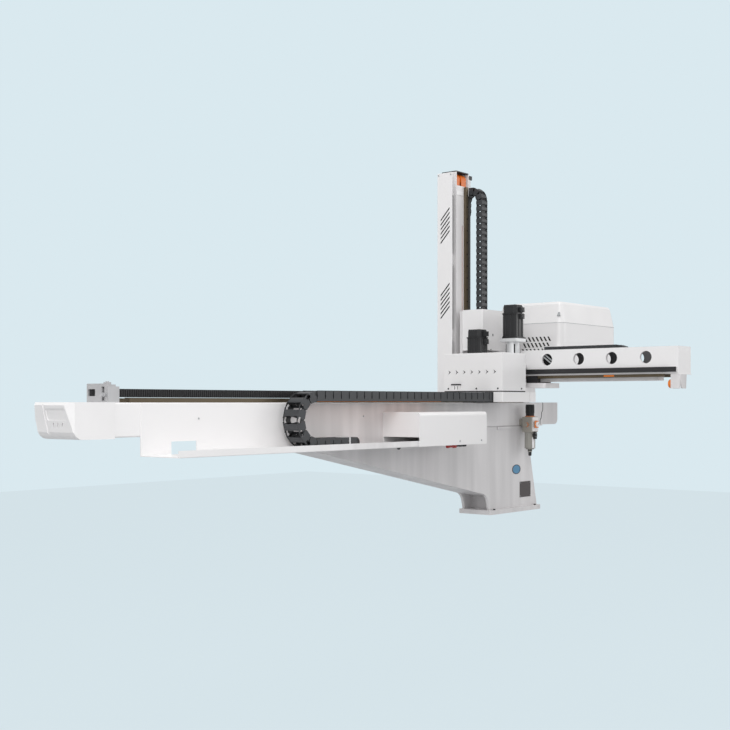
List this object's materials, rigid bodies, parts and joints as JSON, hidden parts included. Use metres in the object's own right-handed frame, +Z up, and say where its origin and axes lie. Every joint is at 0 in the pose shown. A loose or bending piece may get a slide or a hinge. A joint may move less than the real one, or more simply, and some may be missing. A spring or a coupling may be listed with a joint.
{
  "type": "manipulator arm",
  "caption": "Side-mounted take-out manipulator: pedestal, long traverse beam, belt-driven carriage with control box, cross beam and a telescoping vertical arm with a flip wrist.",
  "frame": {"origin": "centre of the base bolt pattern on the underside of the pedestal's flange", "axes": "+X along the traverse beam towards its drive end, +Y along the cross beam towards the vertical arm, +Z up"},
  "size_m": [3.405, 1.266, 1.732],
  "materials": {
    "pedestal_paint": "satin paint",
    "beam_paint": "satin paint",
    "white_sheet": "gloss powder coat",
    "white_moulding": "gloss",
    "grey_moulding": "fine texture",
    "chain_plastic": "matte",
    "belt_rubber": "matte",
    "rail_steel": "ground, oiled",
    "guide_steel": "blackened",
    "carriage_casting": "satin",
    "drive_dark": "satin black",
    "gearbox_silver": "turned",
    "turned_steel": "turned",
    "orange_part": "gloss",
    "orange_rubber": "satin",
    "urethane_belt": "satin",
    "black_rubber": "matte",
    "cap_black": "satin",
    "regulator_grey": "satin",
    "bowl_grey": "satin"
  },
  "bodies": {
    "base": {"pedestal": "pedestal_paint", "traverse_beam": "beam_paint", "beam_end_cover_left": "white_moulding", "beam_end_cover_right": "grey_moulding", "front_skirt_panel": "white_sheet", "cable_entry_box": "white_sheet", "traverse_rails": "rail_steel", "traverse_belt": "belt_rubber", "belt_clamps": "carriage_casting", "carriage_bump_stops": "black_rubber", "traverse_chain_lower": "chain_plastic", "regulator_body": "regulator_grey", "regulator_bowl": "bowl_grey"},
    "pressure_knob": {"regulator_knob": "cap_black"},
    "traverse_chain_loop": {"traverse_chain_bend": "chain_plastic"},
    "carriage": {"carriage_base": "carriage_casting", "traverse_guides": "guide_steel", "carriage_cover": "white_sheet", "traverse_motor": "drive_dark", "carriage_apron": "white_sheet", "traverse_chain_upper": "chain_plastic", "crosswise_motor": "drive_dark", "crosswise_gearbox": "gearbox_silver", "crosswise_guides": "guide_steel", "control_box": "white_sheet", "control_box_lid": "white_moulding", "control_box_bracket": "beam_paint", "belt_idlers": "turned_steel", "crosswise_chain_upper": "chain_plastic"},
    "traverse_drive": {"traverse_pulley": "turned_steel"},
    "crosswise_drive": {"crosswise_pulley": "turned_steel"},
    "crosswise_chain_loop": {"crosswise_chain_bend": "chain_plastic"},
    "crosswise_slide": {"cross_beam": "beam_paint", "cross_beam_cover": "white_sheet", "crosswise_rails": "rail_steel", "crosswise_belt": "belt_rubber", "end_stop_bracket": "beam_paint", "end_stop_bumper": "orange_rubber", "arm_plate": "carriage_casting", "arm_guides": "guide_steel", "vertical_drive_cover": "white_sheet", "vertical_motor": "drive_dark", "vertical_idlers": "turned_steel", "arm_chain_run": "chain_plastic"},
    "vertical_drive": {"vertical_pulley": "turned_steel"},
    "outer_arm": {"arm_profile": "carriage_casting", "arm_rail": "rail_steel", "arm_cover": "white_sheet", "arm_cap": "cap_black", "vertical_belt": "belt_rubber", "telescope_belts": "urethane_belt", "telescope_guides": "guide_steel", "arm_chain_bend": "chain_plastic"},
    "upper_return": {"arm_top_pulleys": "orange_part"},
    "lower_return": {"arm_bottom_pulleys": "orange_part"},
    "inner_arm": {"inner_arm": "carriage_casting", "inner_arm_rail": "rail_steel", "inner_arm_cap": "cap_black", "wrist_fork": "carriage_casting"},
    "wrist": {"gripper_flange": "turned_steel"}
  },
  "joints": [
    {"name": "traverse", "type": "slide", "parent": "base", "child": "carriage", "axis": [1, 0, 0], "range_m": [-2.1, 0], "deforming": ["traverse_belt", "traverse_chain_upper", "traverse_chain_lower"]},
    {"name": "traverse_chain_roll", "type": "slide", "parent": "base", "child": "traverse_chain_loop", "axis": [1, 0, 0], "range_m": [-1.05, 0]},
    {"name": "traverse_pulley_turn", "type": "hinge", "parent": "carriage", "child": "traverse_drive", "pos_m": [-0.22, -0.007, 0.58], "axis": [0, 0, 1], "continuous": true},
    {"name": "crosswise", "type": "slide", "parent": "carriage", "child": "crosswise_slide", "axis": [0, 1, 0], "range_m": [0, 0.5], "deforming": ["crosswise_belt", "crosswise_chain_upper"]},
    {"name": "crosswise_chain_roll", "type": "slide", "parent": "carriage", "child": "crosswise_chain_loop", "axis": [0, 1, 0], "range_m": [0, 0.25]},
    {"name": "crosswise_pulley_turn", "type": "hinge", "parent": "carriage", "child": "crosswise_drive", "pos_m": [-0.091, -0.132, 0.7], "axis": [0, 0, 1], "continuous": true},
    {"name": "vertical", "type": "slide", "parent": "crosswise_slide", "child": "outer_arm", "axis": [0, 0, 1], "range_m": [-0.6, 0], "deforming": ["vertical_belt", "arm_chain_run"]},
    {"name": "vertical_pulley_turn", "type": "hinge", "parent": "crosswise_slide", "child": "vertical_drive", "pos_m": [-0.07, 0.08, 0.905], "axis": [1, 0, 0], "continuous": true},
    {"name": "telescope", "type": "slide", "parent": "outer_arm", "child": "inner_arm", "axis": [0, 0, 1], "range_m": [-0.6, 0]},
    {"name": "upper_return_turn", "type": "hinge", "parent": "outer_arm", "child": "upper_return", "pos_m": [-0.117, 0.19, 1.686], "axis": [1, 0, 0], "continuous": true},
    {"name": "lower_return_turn", "type": "hinge", "parent": "outer_arm", "child": "lower_return", "pos_m": [-0.117, 0.19, 0.59], "axis": [1, 0, 0], "continuous": true},
    {"name": "wrist_flip", "type": "hinge", "parent": "inner_arm", "child": "wrist", "pos_m": [0.007, 0.243, 0.385], "axis": [1, 0, 0], "range_deg": [0, 90]},
    {"name": "pressure_knob_turn", "type": "hinge", "parent": "base", "child": "pressure_knob", "pos_m": [0.0795, -0.125, 0.51], "axis": [0, 0, 1], "range_deg": [-150, 150]}
  ],
  "couplings": [
    {"joint": "traverse_chain_roll", "follows": "traverse", "ratio": 0.5},
    {"joint": "traverse_pulley_turn", "follows": "traverse", "rad_per_m": 41.667},
    {"joint": "crosswise_chain_roll", "follows": "crosswise", "ratio": 0.5},
    {"joint": "crosswise_pulley_turn", "follows": "crosswise", "rad_per_m": 38.462},
    {"joint": "vertical_pulley_turn", "follows": "vertical", "rad_per_m": -41.667},
    {"joint": "telescope", "follows": "vertical", "ratio": 1},
    {"joint": "upper_return_turn", "follows": "vertical", "rad_per_m": 37.037},
    {"joint": "lower_return_turn", "follows": "vertical", "rad_per_m": 37.037}
  ]
}
